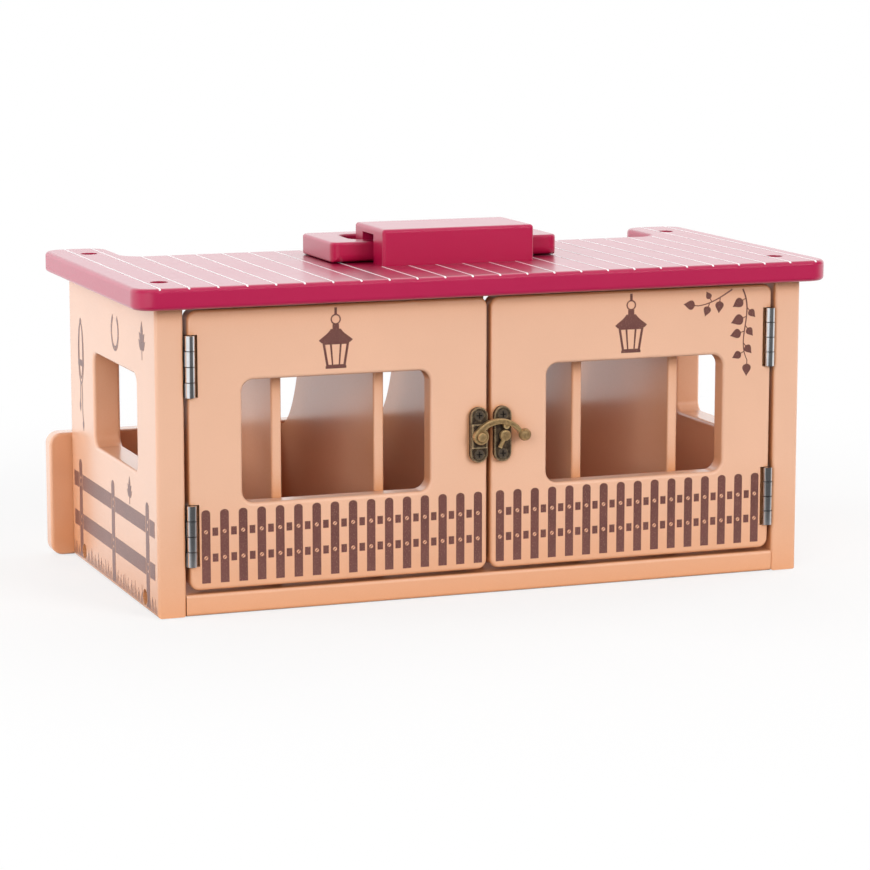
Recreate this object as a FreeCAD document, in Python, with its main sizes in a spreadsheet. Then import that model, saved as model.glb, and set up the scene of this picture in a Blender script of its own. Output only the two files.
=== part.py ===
"""Toy horse stable with two latched doors, six stalls and a fold-down carry handle.

Millimetres. +X runs to the right along the front, +Y to the back, +Z up.
The origin is the centre of the base board's underside.
"""
import FreeCAD, Part
import os
import re
import Sketcher
from FreeCAD import Placement, Rotation, Vector

# Driving dimensions

SIZES = {
    # Walls and their windows
    "body_width": 290,
    "wall_thickness": 12,
    "wall_depth": 142,
    "wall_height": 128,
    "window_front_stile": 30,
    "window_rear_stile": 41,
    "window_sill": 56,
    "window_header": 31,
    "window_corner": 4.5,
    "board_edge": 1.4,
    # Base, back panel and roof
    "base_thickness": 9,
    "panel_thickness": 9,
    "panel_height": 55.5,
    "panel_overhang": 10,
    "panel_corner": 5.5,
    "roof_thickness": 9,
    "roof_side_overhang": 10,
    "roof_front_overhang": 9,
    "roof_corner": 9,
    "roof_edge": 1.8,
    "recess_depth": 40,
    "tab_width": 28.5,
    # Stall partitions
    "partition_thickness": 4.5,
    "partition_setback": 3,
    "partition_edge": 1,
    "cutaway_setback": 3.5,
    "cutaway_drop": 1.5,
    "groove_depth": 2,
    "joint_clearance": 0.05,
    # Doors
    "door_thickness": 9,
    "meeting_gap": 1.6,
    "door_floor_gap": 1.6,
    "door_roof_gap": 1.3,
    "door_corner": 4,
    "door_hinge_stile": 22.8,
    "door_latch_stile": 25.5,
    "door_bottom_rail": 35.2,
    "door_top_rail": 29.7,
    "door_window_corner": 5,
    # Butt hinges
    "hinge_height": 25.4,
    "hinge_margin": 10.3,
    "leaf_thickness": 0.7,
    "leaf_clearance": 0.3,
    "leaf_depth": 5.6,
    "knuckle_diameter": 4.2,
    "knuckle_gap": 0.35,
    "knuckle_clearance": 0.3,
    "barrel_inset": 0.8,
    "barrel_proud": 0.3,
    "notch_gap": 1.2,
    "notch_room": 0.2,
    "pin_diameter": 2,
    "pin_clearance": 0.04,
    "hinge_screw_spacing": 14,
    "hinge_screw_head": 3.2,
    "hinge_screw_head_height": 0.65,
    "hinge_screw_shank": 1.6,
    "hinge_screw_length": 8,
    # Swing latch
    "plate_width": 7.8,
    "plate_length": 23.6,
    "plate_thickness": 2.6,
    "plate_margin": 0.65,
    "plate_edge": 0.5,
    "boss_length": 10.4,
    "boss_height": 0.6,
    "latch_screw_spacing": 16.6,
    "latch_screw_head": 4,
    "latch_screw_head_height": 1.3,
    "latch_screw_shank": 1.8,
    "latch_screw_length": 9,
    "rivet_drop": 0.45,
    "rivet_head": 3.8,
    "rivet_head_height": 1.1,
    "rivet_shank": 2.4,
    "rivet_clearance": 0.05,
    "eye_diameter": 6.7,
    "hook_thickness": 2,
    "hook_clearance": 0.2,
    "hook_edge": 0.6,
    "arch_diameter": 25.6,
    "arch_reach": 8.1,
    "arch_drop": 5.35,
    "arch_inner_diameter": 21.6,
    "arch_inner_reach": 8.6,
    "arch_inner_drop": 5.8,
    "tooth_reach": 11.5,
    "tooth_height": 2.8,
    "tooth_width": 2.6,
    "ball_diameter": 5.3,
    "ball_reach": 19.6,
    "ball_offset": 0.5,
    "stud_reach": 11.1,
    "stud_head": 4.8,
    "stud_head_height": 1.6,
    "stud_shank": 2.4,
    "stud_neck": 0.8,
    "tail_length": 5.7,
    "tail_width": 1.7,
    "tail_lean": 26,
    "latch_pin_depth": 6,
    # Carry handle
    "bridge_length": 69,
    "bridge_front_leg": 12.5,
    "bridge_rear_leg": 10.3,
    "bridge_top": 3.1,
    "bridge_edge": 1.5,
    "bridge_shift": 3,
    "ring_thickness": 8.9,
    "ring_corner": 4,
    "ring_edge": 1.2,
    "ring_lift": 0.3,
    "front_arm": 10.5,
    "rear_arm": 11,
    "side_arm": 13,
    "slot_depth": 22.5,
    "slot_corner": 5,
    "slot_gap": 4.5,
    "pivot_inset": 3.5,
    "swing_clearance": 0.35,
    # Wood screws
    "screw_head": 6.6,
    "screw_head_height": 2,
    "screw_shank": 3.2,
    "screw_length": 26,
    "counterbore": 7.4,
    "counterbore_depth": 2.5,
    "screw_inset": 14,
    "bridge_screw_spacing": 44,
    "bridge_screw_length": 18,
    "base_screw_spacing": 101,
    "base_screw_height": 5.2,
    "cross_width": 0.26,
}
PARTITIONS = 5
KNUCKLES = 4

# Places that several pieces share, as formulas of the sizes above

PLACES = {
    "front": "-wall_depth / 2",
    "rear": "wall_depth / 2",
    "back": "rear + panel_thickness",
    "inner": "body_width / 2 - wall_thickness",
    "roof_top": "wall_height + roof_thickness",
    "roof_side": "body_width / 2 + roof_side_overhang",
    "recess_edge": "back - recess_depth",
    "recess_side": "roof_side - tab_width",
    "stall_pitch": f"(2 * inner + partition_thickness) / {PARTITIONS + 1}",
    "partition_front": "front + door_thickness + partition_setback",
    "cutaway_depth": "rear - recess_edge + cutaway_setback",
    "cutaway_height": "wall_height - panel_height + cutaway_drop",
    "hinge_gap": "2 * leaf_thickness + leaf_clearance",
    "hinge_edge": "inner - hinge_gap",
    "meeting_edge": "meeting_gap / 2",
    "door_low": "base_thickness + door_floor_gap",
    "door_high": "wall_height - door_roof_gap",
    "lower_hinge": "door_low + hinge_margin",
    "upper_hinge": "door_high - hinge_margin - hinge_height",
    "hinge_x": "hinge_edge - barrel_inset",
    "hinge_y": "front - barrel_proud",
    "leaf_front": "hinge_y + knuckle_diameter / 2 + knuckle_clearance",
    "knuckle_pitch": f"(hinge_height + knuckle_gap) / {KNUCKLES}",
    "latch_height": "(door_low + door_high) / 2",
    "plate_near": "meeting_edge + plate_margin",
    "plate_middle": "plate_near + plate_width / 2",
    "plate_front": "front - plate_thickness",
    "rivet_z": "latch_height - rivet_drop",
    "hook_rear": "plate_front - boss_height - hook_clearance",
    "hook_front": "hook_rear - hook_thickness",
    "stud_x": "stud_reach - plate_middle",
    "stud_head_rear": "plate_front - stud_neck",
    "stud_head_front": "stud_head_rear - stud_head_height",
    "under_pivot": "pivot_inset - ring_edge",
    "over_pivot": "ring_thickness - pivot_inset - ring_edge",
    "behind_pivot": "front_arm - pivot_inset - ring_edge",
    "swing_front": "sqrt(under_pivot ^ 2 + over_pivot ^ 2) + ring_edge + swing_clearance",
    "swing_rear": "sqrt(under_pivot ^ 2 + behind_pivot ^ 2) + ring_edge + swing_clearance",
    "swing_top": "sqrt(over_pivot ^ 2 + behind_pivot ^ 2) + ring_edge + swing_clearance",
    "bridge_depth": "bridge_front_leg + swing_front + swing_rear + bridge_rear_leg",
    "bridge_middle": "(front - roof_front_overhang + recess_edge) / 2 + bridge_shift",
    "bridge_front": "bridge_middle - bridge_depth / 2",
    "bridge_rear": "bridge_middle + bridge_depth / 2",
    "channel_front": "bridge_front + bridge_front_leg",
    "channel_rear": "bridge_rear - bridge_rear_leg",
    "pivot_y": "channel_front + swing_front",
    "pivot_z": "roof_top + ring_lift + pivot_inset",
    "channel_top": "pivot_z + swing_top",
    "ring_front": "pivot_y - pivot_inset",
    "ring_rear": "ring_front + front_arm + slot_depth + rear_arm",
    "ring_low": "roof_top + ring_lift",
    "slot_half": "bridge_length / 2 + slot_gap",
    "ring_half": "slot_half + side_arm",
}

doc = FreeCAD.newDocument("ToyStable")
sheet = doc.addObject("Spreadsheet::Sheet", "Sizes")
for row, (alias, size) in enumerate(SIZES.items(), start=1):
    sheet.set(f"A{row}", alias)
    sheet.set(f"B{row}", str(size))
    sheet.setAlias(f"B{row}", alias)
doc.recompute()

X, Y, Z = range(3)
TURNS = {
    "+x": Rotation(Vector(0, 1, 0), 90),
    "-x": Rotation(Vector(0, 1, 0), -90),
    "+y": Rotation(Vector(1, 0, 0), -90),
    "-y": Rotation(Vector(1, 0, 0), 90),
    "+z": Rotation(),
    "-z": Rotation(Vector(1, 0, 0), 180),
}
TOLERANCE = 1e-5


# Formulas and bindings

def formula(text):
    """Return a formula with the names of sizes and places written as sheet cells."""
    def cell(match):
        word = match.group(0)
        if word in PLACES:
            return f"({formula(PLACES[word])})"
        return f"Sizes.{word}" if word in SIZES else word
    return re.sub(r"[a-z_]+", cell, text)


def number(text):
    """Return a formula's value."""
    return float(sheet.evalExpression(formula(text)))


def bind(item, **properties):
    """Bind an object's properties to formulas."""
    for name, text in properties.items():
        item.setExpression(name, formula(text))


def place(item, x="0", y="0", z="0"):
    """Bind an object's position to formulas."""
    for axis, text in zip("xyz", (x, y, z)):
        item.setExpression(f"Placement.Base.{axis}", formula(text))


# Primitives and booleans

def box(name, x, y, z):
    """Make a box from a low and a high formula along each axis."""
    item = doc.addObject("Part::Box", name)
    bind(item, Length=f"({x[1]}) - ({x[0]})", Width=f"({y[1]}) - ({y[0]})", Height=f"({z[1]}) - ({z[0]})")
    place(item, x[0], y[0], z[0])
    return item


def cylinder(name, direction, diameter, length, x="0", y="0", z="0"):
    """Make a cylinder that starts at a point and runs in a direction."""
    item = doc.addObject("Part::Cylinder", name)
    item.Placement = Placement(Vector(), TURNS[direction])
    bind(item, Radius=f"({diameter}) / 2", Height=length)
    place(item, x, y, z)
    return item


def fuse(name, *pieces):
    """Join overlapping pieces into one solid."""
    item = doc.addObject("Part::MultiFuse", name)
    item.Shapes = pieces
    item.Refine = True
    return item


def group(name, *pieces):
    """Hold separate pieces together as one object."""
    item = doc.addObject("Part::Compound", name)
    item.Links = pieces
    return item


def cut(name, base, *tools):
    """Cut one or more tools out of a piece."""
    item = doc.addObject("Part::Cut", name)
    item.Base = base
    item.Tool = tools[0] if len(tools) == 1 else group(f"{name}_tools", *tools)
    return item


def mirror(name, source):
    """Mirror a piece from the left side to the right side."""
    item = doc.addObject("Part::Mirroring", name)
    item.Source = source
    item.Normal = Vector(1, 0, 0)
    return item


def copies(name, master, spots):
    """Repeat a master piece at spots, each a direction and three formulas."""
    links = []
    for index, (direction, x, y, z) in enumerate(spots, start=1):
        link = doc.addObject("App::Link", f"{name}_{index}")
        link.LinkedObject = master
        link.Placement = Placement(Vector(), TURNS[direction])
        place(link, x, y, z)
        links.append(link)
    return group(name, *links)


# Edges

def along(axis):
    """Return a test for straight edges that run along an axis."""
    def test(edge):
        ends = edge.BoundBox
        spans = [ends.XLength, ends.YLength, ends.ZLength]
        length = spans.pop(axis)
        return length > TOLERANCE and max(spans) < TOLERANCE
    return test


def flat_at(axis, *levels):
    """Return a test for edges that lie at a level across an axis."""
    values = [number(level) for level in levels]

    def test(edge):
        ends = edge.BoundBox
        low = (ends.XMin, ends.YMin, ends.ZMin)[axis]
        high = (ends.XMax, ends.YMax, ends.ZMax)[axis]
        return any(abs(low - value) < TOLERANCE and abs(high - value) < TOLERANCE for value in values)
    return test


def both(*tests):
    """Return a test that passes where all of the given tests pass."""
    return lambda edge: all(test(edge) for test in tests)


def inside(axis, low, high):
    """Return a test for edges whose middle lies between two levels across an axis."""
    low, high = number(low), number(high)
    return lambda edge: low < edge.CenterOfMass[axis] < high


def edge_numbers(shape, test):
    """Return the numbers of a shape's edges that pass a test."""
    return [index for index, edge in enumerate(shape.Edges, start=1) if test(edge)]


def soften(name, base, radius, test):
    """Round some edges of a piece that was made from primitives."""
    doc.recompute()
    item = doc.addObject("Part::Fillet", name)
    item.Base = base
    item.Edges = [(index, number(radius), number(radius)) for index in edge_numbers(base.Shape, test)]
    return item


# Sketched boards

def body(name, x="0", y="0", z="0"):
    """Start a sketched board at a position."""
    item = doc.addObject("PartDesign::Body", name)
    place(item, x, y, z)
    return item


def polygon(board, name, plane, points):
    """Sketch a closed outline with straight sides through points given as formulas."""
    sketch = board.newObject("Sketcher::SketchObject", name)
    support = next(item for item in board.Origin.OriginFeatures if item.Role == plane)
    sketch.AttachmentSupport = [(support, "")]
    sketch.MapMode = "FlatFace"
    corners = [Vector(number(u), number(v), 0) for u, v in points]
    for start, end in zip(corners, corners[1:] + corners[:1]):
        sketch.addGeometry(Part.LineSegment(start, end))
    for index, point in enumerate(points):
        before = index - 1 if index else len(points) - 1
        sketch.addConstraint(Sketcher.Constraint("Coincident", before, 2, index, 1))
        for kind, axis, text in (("DistanceX", -2, point[0]), ("DistanceY", -1, point[1])):
            if text == "0":
                sketch.addConstraint(Sketcher.Constraint("PointOnObject", index, 1, axis))
                continue
            made = sketch.addConstraint(Sketcher.Constraint(kind, -1, 1, index, 1, number(text)))
            sketch.renameConstraint(made, f"{kind}_{index}")
            sketch.setExpression(f"Constraints.{kind}_{index}", formula(text))
    return sketch


def rectangle(board, name, plane, u, v):
    """Sketch a rectangle between a low and a high formula each way."""
    return polygon(board, name, plane, [(u[0], v[0]), (u[1], v[0]), (u[1], v[1]), (u[0], v[1])])


def pad(board, sketch, thickness, flip=False):
    """Thicken a sketch into a board."""
    feature = board.newObject("PartDesign::Pad", f"{sketch.Name}_pad")
    feature.Profile = sketch
    feature.Reversed = flip
    bind(feature, Length=thickness)
    return feature


def opening(board, sketch):
    """Cut a sketch right through a board, both ways from its plane."""
    feature = board.newObject("PartDesign::Pocket", f"{sketch.Name}_pocket")
    feature.Profile = sketch
    feature.SideType = "Symmetric"
    feature.Type = "ThroughAll"
    doc.recompute()
    return feature


def round_edges(board, name, radius, test):
    """Round the edges of a board that pass a test."""
    doc.recompute()
    base = board.Tip
    feature = board.newObject("PartDesign::Fillet", f"{board.Name}_{name}")
    feature.Base = (base, [f"Edge{index}" for index in edge_numbers(base.Shape, test)])
    bind(feature, Radius=radius)
    doc.recompute()
    return feature


# Fasteners and their holes

def cross_slot(name, head):
    """Make the cross of a driver slot, centred on a screw's head at its top."""
    arm = f"{head} * 0.32"
    half = f"{head} * cross_width / 4"
    deep = (f"-{head} * 0.2", f"{head}")
    first = box(f"{name}_bar_1", (f"-({arm})", arm), (f"-({half})", half), deep)
    second = box(f"{name}_bar_2", (f"-({half})", half), (f"-({arm})", arm), deep)
    return fuse(name, first, second)


def countersunk(name, head, head_height, shank, length):
    """Make a flat-topped screw that points down from the origin, with a cross slot."""
    cone = doc.addObject("Part::Cone", f"{name}_cone")
    bind(cone, Radius1=f"{shank} / 2", Radius2=f"{head} / 2", Height=head_height)
    place(cone, z=f"-({head_height})")
    stem = cylinder(f"{name}_stem", "-z", shank, length)
    return cut(name, fuse(f"{name}_whole", cone, stem), cross_slot(f"{name}_slot", head))


def screw_seat(name, head, head_height, shank, length, bore, bore_depth):
    """Make the hole for a countersunk screw, with a clear bore above its head."""
    room = "2 * joint_clearance"
    cone = doc.addObject("Part::Cone", f"{name}_cone")
    bind(cone, Radius1=f"({shank} + {room}) / 2", Radius2=f"({head} + {room}) / 2", Height=head_height)
    place(cone, z=f"-({head_height})")
    stem = cylinder(f"{name}_stem", "-z", f"{shank} + {room}", f"{length} + {room}")
    clear = cylinder(f"{name}_clear", "+z", bore, bore_depth)
    return fuse(name, cone, stem, clear)


wood_screw = countersunk("wood_screw", "screw_head", "screw_head_height", "screw_shank", "screw_length")
wood_seat = screw_seat("wood_seat", "screw_head", "screw_head_height", "screw_shank", "screw_length",
                       "counterbore", "counterbore_depth + roof_edge")
base_seat = screw_seat("base_seat", "screw_head", "screw_head_height", "screw_shank", "screw_length",
                       "screw_head + 2 * joint_clearance", "counterbore_depth + board_edge")
bridge_screw = countersunk("bridge_screw", "screw_head", "screw_head_height", "screw_shank",
                           "bridge_screw_length")
bridge_seat = screw_seat("bridge_seat", "screw_head", "screw_head_height", "screw_shank",
                         "bridge_screw_length", "screw_head + 2 * joint_clearance", "groove_depth")
hinge_screw = countersunk("hinge_screw", "hinge_screw_head", "hinge_screw_head_height", "hinge_screw_shank",
                          "hinge_screw_length")
hinge_seat = screw_seat("hinge_seat", "hinge_screw_head", "hinge_screw_head_height", "hinge_screw_shank",
                        "hinge_screw_length", "hinge_screw_head + 2 * joint_clearance", "leaf_thickness")
latch_screw = countersunk("latch_screw", "latch_screw_head", "latch_screw_head_height", "latch_screw_shank",
                          "latch_screw_length")
latch_seat = screw_seat("latch_seat", "latch_screw_head", "latch_screw_head_height", "latch_screw_shank",
                        "latch_screw_length", "latch_screw_head + 2 * joint_clearance", "plate_thickness")

WALL_MIDDLE = "(body_width - wall_thickness) / 2"
ROOF_SPOTS = [
    ("+z", f"{side}{WALL_MIDDLE}", y, "roof_top - counterbore_depth")
    for side in ("-", "")
    for y in ("front + screw_inset", "rear - screw_inset")
]
PANEL_SPOTS = [
    ("+y", f"{side}{WALL_MIDDLE}", "back - counterbore_depth", z)
    for side in ("-", "")
    for z in ("screw_inset", "panel_height - screw_inset")
]
BASE_SPOTS = [
    (direction, f"{side}(body_width / 2 - counterbore_depth)", f"{row}base_screw_spacing / 2", "base_screw_height")
    for side, direction in (("-", "-x"), ("", "+x"))
    for row in ("-", "")
]
BRIDGE_SPOTS = [
    ("-z", f"{side}bridge_screw_spacing / 2", y, "wall_height")
    for side in ("-", "")
    for y in ("bridge_front + bridge_front_leg / 2", "bridge_rear - bridge_rear_leg / 2")
]
LEAF_MIDDLE = "leaf_front + leaf_depth / 2"
HINGE_LEVELS = [
    f"{hinge} + hinge_height / 2 {side} hinge_screw_spacing / 2"
    for hinge in ("lower_hinge", "upper_hinge")
    for side in ("-", "+")
]
LEFT_FRAME_SPOTS = [("+x", "-(inner - leaf_thickness)", LEAF_MIDDLE, z) for z in HINGE_LEVELS]
RIGHT_FRAME_SPOTS = [("-x", "inner - leaf_thickness", LEAF_MIDDLE, z) for z in HINGE_LEVELS]
LEFT_DOOR_SPOTS = [("-x", "-(hinge_edge + leaf_thickness)", LEAF_MIDDLE, z) for z in HINGE_LEVELS]
RIGHT_DOOR_SPOTS = [("+x", "hinge_edge + leaf_thickness", LEAF_MIDDLE, z) for z in HINGE_LEVELS]
LATCH_LEVELS = [f"latch_height {side} latch_screw_spacing / 2" for side in ("-", "+")]
LEFT_LATCH_SPOTS = [("-y", "-plate_middle", "plate_front", z) for z in LATCH_LEVELS]
RIGHT_LATCH_SPOTS = [("-y", "plate_middle", "plate_front", z) for z in LATCH_LEVELS]

roof_screws = copies("roof_screws", wood_screw, ROOF_SPOTS)
roof_seats = copies("roof_seats", wood_seat, ROOF_SPOTS)
panel_screws = copies("back_panel_screws", wood_screw, PANEL_SPOTS)
panel_seats = copies("panel_seats", wood_seat, PANEL_SPOTS)
base_screws = copies("base_screws", wood_screw, BASE_SPOTS)
base_seats = copies("base_seats", base_seat, BASE_SPOTS)
bridge_screws = copies("handle_bridge_screws", bridge_screw, BRIDGE_SPOTS)
bridge_seats = copies("bridge_seats", bridge_seat, BRIDGE_SPOTS)
frame_screws = copies("wall_hinge_screws", hinge_screw, LEFT_FRAME_SPOTS + RIGHT_FRAME_SPOTS)
left_frame_seats = copies("left_frame_seats", hinge_seat, LEFT_FRAME_SPOTS)
left_door_screws = copies("left_door_hinge_screws", hinge_screw, LEFT_DOOR_SPOTS)
left_door_seats = copies("left_door_seats", hinge_seat, LEFT_DOOR_SPOTS)
right_door_screws = copies("right_door_hinge_screws", hinge_screw, RIGHT_DOOR_SPOTS)
left_latch_screws = copies("left_latch_screws", latch_screw, LEFT_LATCH_SPOTS)
left_latch_seats = copies("left_latch_seats", latch_seat, LEFT_LATCH_SPOTS)
right_latch_screws = copies("right_latch_screws", latch_screw, RIGHT_LATCH_SPOTS)
right_latch_seats = copies("right_latch_seats", latch_seat, RIGHT_LATCH_SPOTS)


# Boards

def partition_sides(index, room="0"):
    """Return the formulas of a partition's two faces, counted from the left, with room around it."""
    middle = f"stall_pitch * {index - (PARTITIONS - 1) / 2}"
    half = f"(partition_thickness / 2 + {room})"
    return f"{middle} - {half}", f"{middle} + {half}"


def grooves(name, low, high, rear):
    """Make the grooves that hold the partitions' edges in one board."""
    start = "partition_front - joint_clearance"
    return [
        box(f"{name}_{index + 1}", partition_sides(index, "joint_clearance"), (start, rear), (low, high))
        for index in range(PARTITIONS)
    ]


def make_base_board():
    """Base board between the walls, with grooves for the partitions."""
    board = body("base_blank")
    pad(board, rectangle(board, "base_outline", "XY_Plane", ("-inner", "inner"), ("front", "rear")),
        "base_thickness")
    round_edges(board, "front", "board_edge", both(along(X), flat_at(Y, "front")))
    slots = grooves("base_groove", "base_thickness - groove_depth", "base_thickness + groove_depth",
                    "rear + joint_clearance")
    return cut("base_board", board, *slots, base_seats)


def make_wall():
    """Left wall with its window, drilled for roof, panel, base and hinges."""
    board = body("wall_blank", x="-body_width / 2")
    pad(board, rectangle(board, "wall_outline", "YZ_Plane", ("front", "rear"), ("0", "wall_height")),
        "wall_thickness")
    ends = ("front + window_front_stile", "rear - window_rear_stile")
    sides = ("window_sill", "wall_height - window_header")
    opening(board, rectangle(board, "wall_window", "YZ_Plane", ends, sides))
    in_window = both(along(X), inside(Y, "front + board_edge", "rear - board_edge"))
    round_edges(board, "corners", "window_corner", in_window)
    round_edges(board, "edges", "board_edge", flat_at(X, "0", "wall_thickness"))
    return cut("left_wall", board, roof_seats, panel_seats, base_seats, left_frame_seats)


def make_back_panel():
    """Low panel across the rear edges of the walls."""
    board = body("panel_blank", y="rear")
    half = "(body_width / 2 + panel_overhang)"
    pad(board, rectangle(board, "panel_outline", "XZ_Plane", (f"-{half}", half), ("0", "panel_height")),
        "panel_thickness", flip=True)
    round_edges(board, "corners", "panel_corner", along(Y))
    round_edges(board, "edges", "board_edge", flat_at(Y, "0", "panel_thickness"))
    return cut("back_panel", board, panel_seats)


def make_roof():
    """Roof board, set back between two tabs along its rear edge."""
    board = body("roof_blank", z="wall_height")
    lip = "front - roof_front_overhang"
    points = [
        ("-roof_side", lip), ("roof_side", lip), ("roof_side", "back"), ("recess_side", "back"),
        ("recess_side", "recess_edge"), ("-recess_side", "recess_edge"), ("-recess_side", "back"),
        ("-roof_side", "back"),
    ]
    pad(board, polygon(board, "roof_outline", "XY_Plane", points), "roof_thickness")
    round_edges(board, "corners", "roof_corner", along(Z))
    round_edges(board, "edges", "roof_edge", flat_at(Z, "0", "roof_thickness"))
    slots = grooves("roof_groove", "wall_height - groove_depth", "wall_height + groove_depth",
                    "rear - cutaway_depth + 2 * joint_clearance")
    return cut("roof", board, *slots, roof_seats, bridge_seats)


def make_partition(index):
    """Stall partition, hollowed at the rear from the panel's top up to the roof."""
    name = f"partition_{index + 1}"
    sides = partition_sides(index)
    board = box(f"{name}_board", sides, ("partition_front", "rear"),
                ("base_thickness - groove_depth", "wall_height + groove_depth"))
    front_edges = both(along(Z), flat_at(Y, "partition_front"))
    blank = soften(f"{name}_blank", board, "partition_edge", front_edges)
    curve = doc.addObject("Part::Ellipse", f"{name}_curve")
    bind(curve, MajorRadius="cutaway_height", MinorRadius="cutaway_depth")
    curve.Placement = Placement(Vector(), Rotation(Vector(0, 1, 0), -90))
    place(curve, f"{sides[1]} + partition_thickness / 2", "rear", "wall_height")
    hollow = doc.addObject("Part::Extrusion", f"{name}_hollow")
    hollow.Base = curve
    hollow.DirMode = "Custom"
    hollow.Dir = Vector(-1, 0, 0)
    hollow.Solid = True
    bind(hollow, LengthFwd="2 * partition_thickness")
    return cut(name, blank, hollow)


def make_door_blank():
    """Left door with its window and a notch for each hinge, before it is drilled."""
    board = body("door_blank", y="front")
    sides = ("-hinge_edge", "-meeting_edge")
    pad(board, rectangle(board, "door_outline", "XZ_Plane", sides, ("door_low", "door_high")),
        "door_thickness", flip=True)
    window = ("-hinge_edge + door_hinge_stile", "-meeting_edge - door_latch_stile")
    heights = ("door_low + door_bottom_rail", "door_high - door_top_rail")
    opening(board, rectangle(board, "door_window", "XZ_Plane", window, heights))
    in_window = inside(X, "-hinge_edge + board_edge", "-meeting_edge - board_edge")
    round_edges(board, "window_corners", "door_window_corner", both(along(Y), in_window))
    at_ends = lambda edge: not in_window(edge)
    round_edges(board, "corners", "door_corner", both(along(Y), at_ends))
    round_edges(board, "edges", "board_edge", flat_at(Y, "0", "door_thickness"))
    notches = [
        box(f"{low}_notch", ("-hinge_edge - board_edge", "-hinge_x + knuckle_diameter / 2 + notch_gap"),
            ("hinge_y - knuckle_diameter / 2", "leaf_front"),
            (f"{low} - notch_room", f"{low} + hinge_height + notch_room"))
        for low in ("lower_hinge", "upper_hinge")
    ]
    return cut("door_notched", board, *notches)


# Butt hinges

def make_leaf(name, side, low, first_knuckle):
    """Hinge leaf in the left gap: the plate, every other knuckle and its neck."""
    plate = box(f"{name}_plate", side, ("leaf_front", "leaf_front + leaf_depth"), (low, f"{low} + hinge_height"))
    pieces = [plate]
    for knuckle in range(first_knuckle, KNUCKLES, 2):
        start = f"{low} + knuckle_pitch * {knuckle}"
        length = "knuckle_pitch - knuckle_gap"
        pieces.append(cylinder(f"{name}_knuckle_{knuckle}", "+z", "knuckle_diameter", length,
                               "-hinge_x", "hinge_y", start))
        neck = box(f"{name}_neck_{knuckle}", side, ("hinge_y", "leaf_front"), (start, f"{start} + {length}"))
        pieces.append(neck)
    bore = cylinder(f"{name}_bore", "+z", "pin_diameter + 2 * pin_clearance", "hinge_height",
                    "-hinge_x", "hinge_y", low)
    seats = left_frame_seats if first_knuckle == 0 else left_door_seats
    return cut(name, fuse(f"{name}_whole", *pieces), bore, seats)


def make_pin(name, low):
    """Hinge pin through all the knuckles of the left hinge."""
    stem = cylinder(f"{name}_stem", "+z", "pin_diameter", "hinge_height", "-hinge_x", "hinge_y", low)
    return soften(name, stem, "pin_diameter / 5", flat_at(Z, low, f"{low} + hinge_height"))


def make_hinges():
    """Upper and lower hinge on the left side, and their mirror images on the right."""
    frame_side = ("-inner", "-inner + leaf_thickness")
    door_side = ("-hinge_edge - leaf_thickness", "-hinge_edge")
    pieces = []
    for level in ("upper", "lower"):
        left = [
            make_leaf(f"left_{level}_frame_leaf", frame_side, f"{level}_hinge", 0),
            make_leaf(f"left_{level}_door_leaf", door_side, f"{level}_hinge", 1),
            make_pin(f"left_{level}_hinge_pin", f"{level}_hinge"),
        ]
        pieces += left + [mirror(piece.Name.replace("left", "right"), piece) for piece in left]
    return pieces


# Swing latch

def plate_blank(name, middle):
    """Latch plate with round ends and a softened front edge."""
    half = "plate_width / 2"
    straight = "(plate_length - plate_width) / 2"
    depth = ("plate_front", "front")
    pieces = [box(f"{name}_middle", (f"{middle} - {half}", f"{middle} + {half}"), depth,
                  (f"latch_height - {straight}", f"latch_height + {straight}"))]
    for end, sign in (("low", "-"), ("high", "+")):
        pieces.append(cylinder(f"{name}_{end}_end", "+y", "plate_width", "plate_thickness", middle,
                               "plate_front", f"latch_height {sign} {straight}"))
    return soften(f"{name}_blank", fuse(f"{name}_whole", *pieces), "plate_edge", flat_at(Y, "plate_front"))


def make_latch_plates():
    """Left plate with a raised middle for the hook, and plain right plate."""
    half = "plate_width / 2 - plate_edge"
    boss = box("latch_boss", (f"-plate_middle - ({half})", f"-plate_middle + {half}"),
               ("plate_front - boss_height", "plate_front"),
               ("rivet_z - boss_length / 2", "rivet_z + boss_length / 2"))
    raised = soften("latch_boss_soft", boss, "boss_height / 2", flat_at(Y, "plate_front - boss_height"))
    left = fuse("latch_left_whole", plate_blank("latch_left", "-plate_middle"), raised)
    return [
        cut("latch_left_plate", left, left_latch_seats,
            pin_hole("rivet_hole", "rivet_shank", "-plate_middle")),
        cut("latch_right_plate", plate_blank("latch_right", "plate_middle"), right_latch_seats,
            pin_hole("stud_hole", "stud_shank", "stud_x")),
    ]


def pin_hole(name, shank, x):
    """Make the hole for the rivet or the stud through its plate and into its door."""
    return cylinder(name, "-y", f"{shank} + 2 * joint_clearance",
                    "plate_thickness + latch_pin_depth + boss_height + joint_clearance",
                    x, "front + latch_pin_depth + joint_clearance", "rivet_z")


def make_rivet():
    """Rivet that the hook turns on."""
    head_rear = "hook_front - hook_clearance"
    stem = cylinder("rivet_stem", "-y", "rivet_shank", f"front + latch_pin_depth - ({head_rear})",
                    "-plate_middle", "front + latch_pin_depth", "rivet_z")
    head = cylinder("rivet_cap", "-y", "rivet_head", "rivet_head_height",
                    "-plate_middle", head_rear, "rivet_z")
    front_edge = flat_at(Y, f"{head_rear} - rivet_head_height")
    dome = soften("rivet_dome", head, "rivet_head_height * 0.7", front_edge)
    return fuse("latch_pivot_rivet", stem, dome)


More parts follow.
